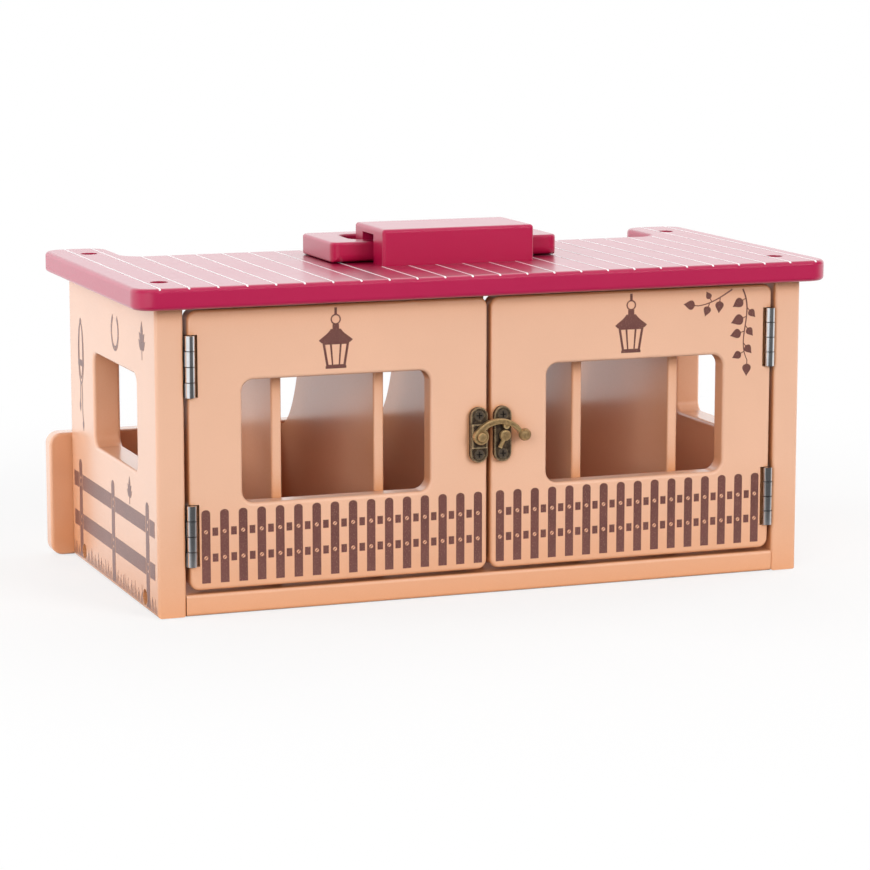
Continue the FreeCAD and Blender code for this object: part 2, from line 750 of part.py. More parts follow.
def make_hook():
    """Hook: an eye round the rivet, an arch over the stud with a tooth, and a ball."""
    eye = cylinder("hook_eye", "-y", "eye_diameter", "hook_thickness",
                   "-plate_middle", "hook_rear", "rivet_z")
    outer = cylinder("arch_outer", "-y", "arch_diameter", "hook_thickness",
                     "arch_reach - plate_middle", "hook_rear", "rivet_z - arch_drop")
    inner = cylinder("arch_inner", "-y", "arch_inner_diameter", "hook_thickness",
                     "arch_inner_reach - plate_middle", "hook_rear", "rivet_z - arch_inner_drop")
    above = box("arch_half", ("-arch_diameter", "arch_diameter"), ("hook_front", "hook_rear"),
                ("rivet_z", "rivet_z + arch_diameter"))
    arch = doc.addObject("Part::Common", "arch_band")
    arch.Base = cut("arch_ring", outer, inner)
    arch.Tool = above
    on_front = flat_at(Y, "hook_front")
    curved = lambda edge: on_front(edge) and not along(X)(edge)
    soft_arch = soften("arch_soft", arch, "hook_edge", curved)
    soft_eye = soften("eye_soft", eye, "hook_edge", on_front)
    tooth_middle = "tooth_reach - plate_middle"
    tooth_low = "rivet_z + tooth_height + tooth_width / 2"
    tip = cylinder("tooth_tip", "-y", "tooth_width", "hook_thickness - hook_edge", tooth_middle, "hook_rear",
                   tooth_low)
    root = box("tooth_root", (f"{tooth_middle} - tooth_width / 2", f"{tooth_middle} + tooth_width / 2"),
               ("hook_front + hook_edge", "hook_rear"),
               (tooth_low, "rivet_z - arch_inner_drop + arch_inner_diameter / 2"))
    ball = doc.addObject("Part::Sphere", "hook_ball")
    bind(ball, Radius="ball_diameter / 2")
    place(ball, "ball_reach - plate_middle", "(hook_rear + hook_front) / 2 - ball_offset", "rivet_z")
    bore = cylinder("hook_bore", "-y", "rivet_shank + 2 * rivet_clearance", "hook_thickness",
                    "-plate_middle", "hook_rear", "rivet_z")
    return cut("latch_hook", fuse("hook_whole", soft_eye, soft_arch, tip, root, ball), bore)


def make_stud():
    """Stud with a round head and a short tail."""
    stem = cylinder("stud_stem", "-y", "stud_shank", "front + latch_pin_depth - stud_head_rear",
                    "stud_x", "front + latch_pin_depth", "rivet_z")
    head = cylinder("stud_cap", "-y", "stud_head", "stud_head_height", "stud_x", "stud_head_rear", "rivet_z")
    dome = soften("stud_dome", head, "stud_head_height / 2", flat_at(Y, "stud_head_front"))
    tail = doc.addObject("Part::Cylinder", "stud_tail")
    bind(tail, Radius="tail_width / 2", Height="tail_length")
    tail.Placement = Placement(Vector(), Rotation(Vector(0, 1, 0), 180 + number("tail_lean")))
    place(tail, "stud_x", "(stud_head_rear + stud_head_front) / 2", "rivet_z")
    return fuse("latch_stud", stem, dome, tail)


# Carry handle

def make_handle_ring():
    """Flat ring that lies on the roof; its front arm is rounded under the pivot to fold up."""
    board = body("ring_blank", z="ring_low")
    pad(board, rectangle(board, "ring_outline", "XY_Plane", ("-ring_half", "ring_half"),
                         ("ring_front", "ring_rear")), "ring_thickness")
    slot = ("ring_front + front_arm", "ring_rear - rear_arm")
    opening(board, rectangle(board, "ring_slot", "XY_Plane", ("-slot_half", "slot_half"), slot))
    in_slot = inside(Y, "ring_front + ring_edge", "ring_rear - ring_edge")
    round_edges(board, "slot_corners", "slot_corner", both(along(Z), in_slot))
    at_ends = lambda edge: not in_slot(edge)
    round_edges(board, "corners", "ring_corner", both(along(Z), at_ends))
    round_edges(board, "edges", "ring_edge", flat_at(Z, "0", "ring_thickness"))
    reach = "2 * pivot_inset"
    under = box("ring_under", ("-ring_half - ring_edge", "ring_half + ring_edge"),
                (f"pivot_y - {reach}", "pivot_y"), (f"pivot_z - {reach}", "pivot_z"))
    roll = cylinder("ring_roll", "+x", reach, "2 * ring_half + 4 * ring_edge", "-ring_half - 2 * ring_edge",
                    "pivot_y", "pivot_z")
    return cut("handle_ring", board, cut("ring_relief", under, roll))


def make_handle_bridge():
    """Block over the ring's front arm, open underneath as a channel."""
    board = body("bridge_blank", x="-bridge_length / 2")
    low, high = "roof_top", "channel_top + bridge_top"
    points = [
        ("bridge_front", low), ("channel_front", low), ("channel_front", "channel_top"),
        ("channel_rear", "channel_top"), ("channel_rear", low), ("bridge_rear", low),
        ("bridge_rear", high), ("bridge_front", high),
    ]
    pad(board, polygon(board, "bridge_profile", "YZ_Plane", points), "bridge_length")
    top = flat_at(Z, high)
    in_channel = inside(Y, "bridge_front + bridge_edge", "bridge_rear - bridge_edge")
    outer = lambda edge: top(edge) or along(Z)(edge) and not in_channel(edge)
    round_edges(board, "edges", "bridge_edge", outer)
    return cut("handle_bridge", board, bridge_seats)


# Assembly

left_wall = make_wall()
door = make_door_blank()
pieces = [
    make_base_board(),
    left_wall,
    mirror("right_wall", left_wall),
    make_back_panel(),
    make_roof(),
    *[make_partition(index) for index in range(PARTITIONS)],
    cut("left_door", door, left_door_seats, left_latch_seats,
        pin_hole("left_pin_hole", "rivet_shank", "-plate_middle")),
    cut("right_door", mirror("right_door_blank", door), mirror("right_door_seats", left_door_seats),
        right_latch_seats, pin_hole("right_pin_hole", "stud_shank", "stud_x")),
    *make_hinges(),
    *make_latch_plates(),
    make_rivet(),
    make_hook(),
    make_stud(),
    make_handle_ring(),
    make_handle_bridge(),
    roof_screws,
    panel_screws,
    bridge_screws,
    frame_screws,
    left_door_screws,
    right_door_screws,
    left_latch_screws,
    right_latch_screws,
    base_screws,
]
doc.recompute()

failed = [item.Name for item in doc.Objects if {"Invalid", "Error"} & set(item.State)]
failed += [piece.Name for piece in pieces if piece.Shape.isNull() or not piece.Shape.isValid()]
if failed:
    raise RuntimeError(f"failed: {', '.join(failed)}")

os.makedirs("parts", exist_ok=True)
for piece in pieces:
    piece.Label = piece.Name
    piece.Shape.exportStep(f"parts/{piece.Label}.step")
    print(f"{piece.Label}: {len(piece.Shape.Solids)} solids, {piece.Shape.Volume:.1f} mm3")
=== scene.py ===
"""Looks of the toy horse stable: painted boards, printed decoration, plated hinges and an antique latch."""
import logging
import math
from collections.abc import Callable, Iterable, Sequence
from dataclasses import dataclass, field
from enum import Enum

import bpy
from bpy.types import Material, NodeSocket, Object
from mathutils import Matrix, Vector
from mathutils.geometry import delaunay_2d_cdt


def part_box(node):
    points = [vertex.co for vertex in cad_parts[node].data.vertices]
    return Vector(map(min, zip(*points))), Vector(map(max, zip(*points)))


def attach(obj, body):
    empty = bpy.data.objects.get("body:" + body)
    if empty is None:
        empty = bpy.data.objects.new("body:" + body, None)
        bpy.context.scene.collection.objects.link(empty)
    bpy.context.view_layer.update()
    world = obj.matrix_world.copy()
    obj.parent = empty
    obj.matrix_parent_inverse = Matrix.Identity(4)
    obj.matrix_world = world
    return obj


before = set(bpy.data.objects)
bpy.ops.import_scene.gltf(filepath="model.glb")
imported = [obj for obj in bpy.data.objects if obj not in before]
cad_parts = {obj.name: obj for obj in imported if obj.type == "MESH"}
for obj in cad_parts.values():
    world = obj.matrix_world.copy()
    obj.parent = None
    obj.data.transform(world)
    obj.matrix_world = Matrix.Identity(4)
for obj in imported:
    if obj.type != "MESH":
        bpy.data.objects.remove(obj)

LOG = logging.getLogger("stable")
MM = 0.001
Pair = tuple[float, float]
Triple = tuple[float, float, float]
Point = Pair
Colour = Triple
Outline = list[Point]
Skin = list[tuple[Vector, Vector]]


# Shader nodes

class Channel:
    """One output of a material's nodes, with arithmetic that adds Math nodes."""

    def __init__(self, bench: "NodeBench", socket: NodeSocket) -> None:
        """Hold a socket of a bench's node tree."""
        self.bench = bench
        self.socket = socket

    def _math(self, operation: str, first: "Channel | float", second: "Channel | float") -> "Channel":
        """Add a Math node for one operation on two values."""
        return self.bench.node("ShaderNodeMath", {"operation": operation},
                               {"Value": first, "Value_001": second})

    def __add__(self, other: "Channel | float") -> "Channel":
        """Return self + other."""
        return self._math("ADD", self, other)

    def __radd__(self, other: float) -> "Channel":
        """Return other + self."""
        return self._math("ADD", other, self)

    def __sub__(self, other: "Channel | float") -> "Channel":
        """Return self - other."""
        return self._math("SUBTRACT", self, other)

    def __rsub__(self, other: float) -> "Channel":
        """Return other - self."""
        return self._math("SUBTRACT", other, self)

    def __mul__(self, other: "Channel | float") -> "Channel":
        """Return self * other."""
        return self._math("MULTIPLY", self, other)

    def __rmul__(self, other: float) -> "Channel":
        """Return other * self."""
        return self._math("MULTIPLY", other, self)

    def larger(self, other: "Channel | float") -> "Channel":
        """Return the larger of self and other."""
        return self._math("MAXIMUM", self, other)

    def step(self, low: float, high: float) -> "Channel":
        """Return a smooth step from 0 at low to 1 at high."""
        return self.bench.node(
            "ShaderNodeMapRange", {"interpolation_type": "SMOOTHSTEP"},
            {"Value": self, "From Min": low, "From Max": high})


class NodeBench:
    """Builds the nodes of one material or world."""

    MASK_SAMPLES = 8

    def __init__(self, tree: bpy.types.NodeTree) -> None:
        """Empty a node tree and hold it."""
        self.tree = tree
        tree.nodes.clear()

    def node(self, kind: str, settings: dict | None = None, sockets: dict | None = None,
             output: str | int = 0) -> Channel | None:
        """Add a node, set it up and feed its sockets.

        Args:
            kind: The node's type.
            settings: Properties of the node, which are set first.
            sockets: Values or links by socket identifier or name.
            output: The output that is returned.

        Returns:
            The chosen output, or None for a node without outputs.
        """
        made = self.tree.nodes.new(kind)
        for key, value in (settings or {}).items():
            setattr(made, key, value)
        for key, value in (sockets or {}).items():
            socket = self._find(made.inputs, key)
            if isinstance(value, Channel):
                self.tree.links.new(value.socket, socket)
            else:
                socket.default_value = value
        return Channel(self, self._find(made.outputs, output)) if made.outputs else None

    @staticmethod
    def _find(sockets: bpy.types.bpy_prop_collection, key: str | int) -> NodeSocket:
        """Return one of a node's inputs or outputs by its identifier, or else by its name or index."""
        identified = {socket.identifier: socket for socket in sockets}
        return identified[key] if key in identified else sockets[key]

    def place(self) -> Channel:
        """Return the object's own coordinates, in metres."""
        return self.node("ShaderNodeTexCoord", output="Object")

    def noise(self, place: Channel, size: float, detail: float = 2.0, stretch: Colour = (1, 1, 1)) -> Channel:
        """Return noise about 0.5, with features of a size in metres that is stretched along each axis."""
        scaled = self.node("ShaderNodeVectorMath", {"operation": "DIVIDE"},
                           {"Vector": place, "Vector_001": [size * times for times in stretch]})
        return self.node("ShaderNodeTexNoise", None, {"Vector": scaled, "Scale": 1.0, "Detail": detail})

    def mix(self, factor: Channel | float, first: Channel | Colour, second: Channel | Colour) -> Channel:
        """Return a colour between two colours."""
        sockets = {"Factor_Float": factor, "A_Color": as_socket(first), "B_Color": as_socket(second)}
        return self.node("ShaderNodeMix", {"data_type": "RGBA"}, sockets, "Result_Color")

    def crevices(self, width: float, **settings: bool) -> Channel:
        """Return a mask that is 1 deep in corners and 0 in the open, a width in metres away."""
        settings["samples"] = self.MASK_SAMPLES
        return 1 - self.node("ShaderNodeAmbientOcclusion", settings, {"Distance": width}, "AO")

    def edges(self, width: float) -> Channel:
        """Return a mask that is 1 on a piece's sharp edges and 0 on flats, a width in metres away."""
        return self.crevices(width, inside=True, only_local=True)

    def bump(self, height: Channel, distance: float) -> Channel:
        """Return a normal that follows a height, whose unit is a distance in metres."""
        return self.node("ShaderNodeBump", None, {"Height": height, "Distance": distance})

    def surface(self, **sockets: Channel | float | Colour) -> None:
        """Close a material with a Principled shader.

        Args:
            **sockets: The shader's sockets by name, with underscores for spaces.
        """
        named = {key.replace("_", " "): as_socket(value) for key, value in sockets.items()}
        shader = self.node("ShaderNodeBsdfPrincipled", None, named)
        self.node("ShaderNodeOutputMaterial", None, {"Surface": shader})


def as_socket(value: Channel | float | Colour) -> Channel | float | tuple[float, ...]:
    """Return a value as a socket takes it: a colour gets its fourth number."""
    return (*value, 1.0) if isinstance(value, tuple) and len(value) == 3 else value


def tinted(colour: Colour, factor: float) -> Colour:
    """Return a colour made lighter or darker by a factor."""
    return tuple(min(1.0, part * factor) for part in colour)


def new_bench(name: str) -> tuple[Material, NodeBench]:
    """Start a material.

    Args:
        name: The material's name.

    Returns:
        The material and the bench that fills it.
    """
    material = bpy.data.materials.new(name)
    material.use_nodes = True
    return material, NodeBench(material.node_tree)


# Finishes

class Grain(Enum):
    """Axis that a board's sanding marks run along, as stretch factors."""

    ALONG_X = (8, 1, 1)
    ALONG_Y = (1, 8, 1)
    ALONG_Z = (1, 1, 8)


@dataclass(frozen=True)
class Paint:
    """Satin paint on fibreboard: sprayed skin, faint sanding marks, edges lightened by wear and painted
    highlight, painted shade in hollows.
    """

    name: str
    colour: Colour
    shade: Colour
    roughness: float = 0.42
    coat: float = 1.0
    coat_roughness: float = 0.2
    edge_wear_and_highlight: float = 1.08
    cloud_size: float = 45 * MM
    speck_size: float = 0.5 * MM
    peel_size: float = 0.9 * MM
    mark_size: float = 1.1 * MM
    edge_width: float = 1.6 * MM
    shelter_reach: float = 80 * MM
    sheltered_shade_share: float = 0.65
    corner_reach: float = 28 * MM
    corner_shade_share: float = 0.95
    gap_reach: float = 4 * MM
    gap_shade_share: float = 0.85
    gap_shade_tint: float = 0.12
    skin_height: float = 0.02 * MM

    def material(self, grain: Grain) -> Material:
        """Make the paint for boards that run one way.

        Args:
            grain: The way the board runs.

        Returns:
            The material.
        """
        material, bench = new_bench(f"{self.name}_{grain.name.lower()}")
        place = bench.place()
        cloud = bench.noise(place, self.cloud_size, 3)
        speck = bench.noise(place, self.speck_size, 1)
        peel = bench.noise(place, self.peel_size, 2)
        marks = bench.noise(place, self.mark_size, 3, grain.value)
        edge = bench.edges(self.edge_width).step(0.3, 0.75)
        tone = bench.mix(cloud.step(0.3, 0.7), tinted(self.colour, 0.975), tinted(self.colour, 1.02))
        tone = bench.mix(speck.step(0.35, 0.75) * 0.35, tone, tinted(self.colour, 0.93))
        # Edges lightened: partly rubbed wear, partly a painted highlight.
        tone = bench.mix(edge * (0.4 + cloud * 0.4), tone, tinted(self.colour, self.edge_wear_and_highlight))
        # Painted shade: in corners and sheltered places the paint turns to its darker, more saturated shade
        # colour.
        near = bench.crevices(self.shelter_reach)
        sheltered_shade = near.step(0.12, 0.5) * (1 - near.step(0.6, 0.85)) * self.sheltered_shade_share
        corner = bench.crevices(self.corner_reach).step(0.04, 0.62) * self.corner_shade_share
        tone = bench.mix(corner.larger(sheltered_shade), tone, self.shade)
        # Painted shade in narrow gaps: colour near black and the coat taken away there.
        gap_shade = bench.crevices(self.gap_reach).step(0.7, 0.95)
        tone = bench.mix(gap_shade * self.gap_shade_share, tone, tinted(self.shade, self.gap_shade_tint))
        rough = self.roughness - 0.08 + cloud * 0.1 + marks * 0.08 - edge * 0.05
        skin = bench.bump(peel * 0.6 + marks * 0.5 + speck * 0.3, self.skin_height)
        bench.surface(Base_Color=tone, Roughness=rough, Normal=skin, Coat_Weight=self.coat * (1 - gap_shade),
                      Coat_Roughness=self.coat_roughness)
        return material


@dataclass(frozen=True)
class Ink:
    """Screen-printed ink with a fine speckle where the paint shows through."""

    name: str
    colour: Colour
    ground: Colour
    speckle: float = 0.32
    roughness: float = 0.48
    coat: float = 0.6
    coat_roughness: float = 0.3
    speck_size: float = 0.45 * MM
    cloud_size: float = 14 * MM
    skin_height: float = 0.01 * MM

    def material(self) -> Material:
        """Make the ink.

        Returns:
            The material.
        """
        material, bench = new_bench(self.name)
        place = bench.place()
        speck = bench.noise(place, self.speck_size, 2)
        cloud = bench.noise(place, self.cloud_size, 2)
        tone = bench.mix(cloud.step(0.3, 0.7), tinted(self.colour, 0.93), tinted(self.colour, 1.08))
        tone = bench.mix(speck.step(0.52, 0.8) * self.speckle, tone, self.ground)
        rough = self.roughness - 0.06 + speck * 0.12
        bench.surface(Base_Color=tone, Roughness=rough, Normal=bench.bump(speck, self.skin_height),
                      Coat_Weight=self.coat, Coat_Roughness=self.coat_roughness)
        return material


@dataclass(frozen=True)
class Plate:
    """Plated steel, rolled along one axis, rougher in its corners and darkened there as painted shade."""

    name: str
    colour: Colour
    crevice_shade: Colour
    roughness: float = 0.12
    streak_size: float = 0.12 * MM
    cloud_size: float = 3 * MM
    corner_reach: float = 1.2 * MM
    skin_height: float = 0.002 * MM

    def material(self, grain: Grain) -> Material:
        """Make the plating.

        Args:
            grain: The way the sheet was rolled.

        Returns:
            The material.
        """
        material, bench = new_bench(self.name)
        place = bench.place()
        streak = bench.noise(place, self.streak_size, 3, grain.value)
        cloud = bench.noise(place, self.cloud_size, 3)
        # Painted shade: corners darken towards the crevice shade colour.
        corner = bench.crevices(self.corner_reach).step(0.35, 0.9)
        tone = bench.mix(cloud.step(0.35, 0.8) * 0.25, self.colour, tinted(self.colour, 0.82))
        tone = bench.mix(corner * 0.9, tone, self.crevice_shade)
        rough = self.roughness - 0.04 + streak * 0.08 + corner * 0.2
        skin = bench.bump(streak, self.skin_height)
        bench.surface(Base_Color=tone, Metallic=1.0, Roughness=rough, Normal=skin)
        return material


@dataclass(frozen=True)
class AntiqueBrass:
    """Blackened brass that was rubbed bright on its raised parts and edges; the bright edges are also a
    painted highlight.
    """

    name: str
    brass: Colour
    patina: Colour
    polish: float
    blotch_size: float = 1.3 * MM
    pit_size: float = 0.22 * MM
    edge_width: float = 0.9 * MM
    corner_reach: float = 1.6 * MM
    skin_height: float = 0.012 * MM

    def material(self) -> Material:
        """Make the brass.

        Returns:
            The material.
        """
        material, bench = new_bench(self.name)
        place = bench.place()
        blotch = bench.noise(place, self.blotch_size, 4)
        pits = bench.noise(place, self.pit_size, 3)
        # Edge mask: rubbed wear, and a painted highlight along the edges.
        edge = bench.edges(self.edge_width).step(0.05, 0.38)
        corner = bench.crevices(self.corner_reach).step(0.25, 0.8)
        bright = (self.polish + edge * 0.85 + (blotch - 0.5) * 0.7 - corner * 1.1).step(0.0, 1.0)
        tone = bench.mix(bright, self.patina, self.brass)
        tone = bench.mix(pits.step(0.55, 0.8) * 0.3, tone, tinted(self.patina, 0.6))
        rough = 0.4 - bright * 0.15 + pits * 0.08
        skin = bench.bump(pits + blotch * 0.6, self.skin_height)
        bench.surface(Base_Color=tone, Metallic=0.5 + bright * 0.2, Roughness=rough, Normal=skin)
        return material


BEIGE: Colour = (0.79, 0.465, 0.315)
BEIGE_PAINT = Paint("beige_paint", colour=BEIGE, shade=(0.63, 0.265, 0.11))
RASPBERRY_PAINT = Paint("raspberry_paint", colour=(0.44, 0.006, 0.066), shade=(0.36, 0.004, 0.045),
                        roughness=0.36, coat=0.9, coat_roughness=0.25, edge_wear_and_highlight=1.2)
BROWN_INK = Ink("brown_ink", colour=(0.14, 0.05, 0.042), ground=BEIGE)
WHITE_INK = Ink("white_ink", colour=(0.92, 0.86, 0.87), ground=(0.62, 0.22, 0.3), speckle=0.1, roughness=0.4)
NICKEL = Plate("bright_nickel", colour=(0.78, 0.79, 0.81), crevice_shade=(0.09, 0.08, 0.08))
SCREW_STEEL = Plate("dark_screw_steel", colour=(0.16, 0.15, 0.15), crevice_shade=(0.02, 0.02, 0.02), roughness=0.35)
RUBBED_BRASS = AntiqueBrass("rubbed_brass", brass=(0.94, 0.66, 0.32), patina=(0.16, 0.08, 0.028), polish=0.36)
DARK_BRASS = AntiqueBrass("dark_brass", brass=(0.86, 0.63, 0.36), patina=(0.045, 0.028, 0.02), polish=0.12)
BLACKENED_BRASS = AntiqueBrass("blackened_brass", brass=(0.2, 0.155, 0.115), patina=(0.03, 0.024, 0.02),
                               polish=0.1)


# Printed shapes

# Triangulation: the output type that keeps the shapes' insides, and how near points are joined.
INSIDE_SHAPES = 1
JOIN_DISTANCE = 1e-5


def bar(left: float, low: float, right: float, high: float) -> Outline:
    """Return a rectangle."""
    return [(left, low), (right, low), (right, high), (left, high)]


def arc(middle: Point, radius: float, start: float, end: float, count: int = 16) -> Outline:
    """Return points along an arc between two angles in degrees, both ends included."""
    angles = [math.radians(start + (end - start) * index / count) for index in range(count + 1)]
    return [(middle[0] + radius * math.cos(angle), middle[1] + radius * math.sin(angle)) for angle in angles]


def disc(middle: Point, radius: float, count: int = 20) -> Outline:
    """Return a full circle."""
    return arc(middle, radius, 0, 360, count)[:-1]


def curve(first: Point, second: Point, third: Point, fourth: Point, count: int = 14) -> Outline:
    """Return points along a cubic curve.

    Args:
        first: Where the curve starts.
        second: The point that it sets out towards.
        third: The point that it arrives from.
        fourth: Where it ends.
        count: The number of steps.

    Returns:
        The points, both ends included.
    """
    points = []
    controls = (first, second, third, fourth)
    for index in range(count + 1):
        share = index / count
        weights = ((1 - share) ** 3, 3 * share * (1 - share) ** 2, 3 * share ** 2 * (1 - share), share ** 3)
        points.append(tuple(sum(w * c[axis] for w, c in zip(weights, controls)) for axis in (0, 1)))
    return points


def stroke(path: Outline, width: Callable[[float], float]) -> Outline:
    """Return the outline of a line of varying width.

    Args:
        path: The line's middle.
        width: The width at a share of the way along the line.

    Returns:
        The closed outline.
    """
    left, right = [], []
    last = len(path) - 1
    for index, (u, v) in enumerate(path):
        before, after = path[max(index - 1, 0)], path[min(index + 1, last)]
        du, dv = after[0] - before[0], after[1] - before[1]
        length = math.hypot(du, dv)
        half = width(index / last) / 2
        left.append((u - dv / length * half, v + du / length * half))
        right.append((u + dv / length * half, v - du / length * half))
    return left + right[::-1]


def leaf(root: Point, angle: float, length: float, width: float, count: int = 9) -> Outline:
    """Return a pointed oval leaf, widest near its root.

    Args:
        root: Where the leaf meets its stalk.
        angle: The way it points, in degrees.
        length: From root to tip.
        width: At its widest.
        count: Points along one side.

    Returns:
        The closed outline.
    """
    along = (math.cos(math.radians(angle)), math.sin(math.radians(angle)))
    path = [(root[0] + along[0] * length * index / count, root[1] + along[1] * length * index / count)
            for index in range(count + 1)]
    tip, swell, shift, taper = 0.04, 1.22, 0.62, 1.15
    return stroke(path, lambda share: width * max(tip, swell * math.sin(math.pi * share ** shift) ** taper))


class Face(Enum):
    """Outside faces that carry prints: the right hand and the outward direction, seen from outside."""

    FRONT = (Vector((1, 0, 0)), Vector((0, -1, 0)))
    LEFT = (Vector((0, -1, 0)), Vector((-1, 0, 0)))
    RIGHT = (Vector((0, 1, 0)), Vector((1, 0, 0)))


@dataclass
class Stencil:
    """Shapes laid over one another in order, some inked and some left clear, printed as one thin sheet."""

    thickness: float = 0.06
    sink: float = 0.02
    shapes: list[tuple[Outline, bool]] = field(default_factory=list)

    def ink(self, *outlines: Outline) -> None:
        """Lay inked shapes over what is there."""
        self.shapes += [(outline, True) for outline in outlines]

    def clear(self, *outlines: Outline) -> None:
        """Lay shapes that stay free of ink over what is there."""
        self.shapes += [(outline, False) for outline in outlines]

    def _cells(self) -> tuple[list[Vector], list[list[int]]]:
        """Cut the shapes into triangles.

        Returns:
            The corners, and the corners' indices of each inked triangle.
        """
        points, faces = [], []
        for outline, _ in self.shapes:
            area = sum(a[0] * b[1] - b[0] * a[1] for a, b in zip(outline, outline[1:] + outline[:1]))
            ordered = outline if area > 0 else outline[::-1]
            faces.append(list(range(len(points), len(points) + len(ordered))))
            points += [Vector(point) for point in ordered]
        corners, _, cells, _, _, sources = delaunay_2d_cdt(points, [], faces, INSIDE_SHAPES, JOIN_DISTANCE)
        inked = [cell for cell, source in zip(cells, sources) if source and self.shapes[max(source)][1]]
        return corners, inked

    def sheet(self, name: str, face: Face, level: float) -> Object:
        """Print the shapes on a face of the part.

        Args:
            name: The piece's name.
            face: The outside face.
            level: How far the face lies from the origin along its outward direction, in millimetres.

        Returns:
            The thin closed piece.
        """
        right, outward = face.value
        corners, cells = self._cells()
        used = sorted({index for cell in cells for index in cell})
        order = {index: number for number, index in enumerate(used)}
        flat = [right * corners[index].x + Vector((0, 0, 1)) * corners[index].y for index in used]
        front = [(point + outward * (level + self.thickness)) * MM for point in flat]
        rear = [(point + outward * (level - self.sink)) * MM for point in flat]
        tops = [tuple(order[index] for index in cell) for cell in cells]
        sides = {(a, b) for top in tops for a, b in zip(top, top[1:] + top[:1])}
        rims = [(b, a) for a, b in sides if (b, a) not in sides]
        count = len(used)
        walls = [(a, b, b + count, a + count) for a, b in rims]
        floors = [tuple(index + count for index in reversed(top)) for top in tops]
        return new_piece(name, front + rear, tops + walls + floors)


def new_piece(name: str, corners: Sequence[Vector], faces: Sequence[Sequence[int]]) -> Object:
    """Make a mesh object from corners in metres and faces.

    Args:
        name: The piece's name.
        corners: The corners.
        faces: The corners' indices, face by face.

    Returns:
        The object, in the scene.
    """
    mesh = bpy.data.meshes.new(name)
    mesh.from_pydata([tuple(corner) for corner in corners], [], [tuple(face) for face in faces])
    mesh.validate()
    mesh.update()
    piece = bpy.data.objects.new(name, mesh)
    bpy.context.scene.collection.objects.link(piece)
    LOG.info("%s: %d faces", name, len(mesh.polygons))
    return piece


def dress(piece: Object, material: Material) -> None:
    """Give a piece one material all over."""
    piece.data.materials.clear()
    piece.data.materials.append(material)


def span(node: str) -> tuple[Vector, Vector]:
    """Return a node's lowest and highest corner in millimetres."""
    low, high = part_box(node)
    return low / MM, high / MM


# Sub-assemblies

@dataclass
class Boards:
    """Boards in beige paint, by the way they run."""

    along_x: tuple[str, ...] = ("base_board", "back_panel", "left_door", "right_door")
    along_y: tuple[str, ...] = ("left_wall", "right_wall")
    along_z: tuple[str, ...] = tuple(f"partition_{number}" for number in range(1, 6))

    def dress(self) -> None:
        """Paint every board the way it runs."""
        runs = {Grain.ALONG_X: self.along_x, Grain.ALONG_Y: self.along_y, Grain.ALONG_Z: self.along_z}
        for grain, names in runs.items():
            paint = BEIGE_PAINT.material(grain)
            for name in names:
                dress(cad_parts[name], paint)


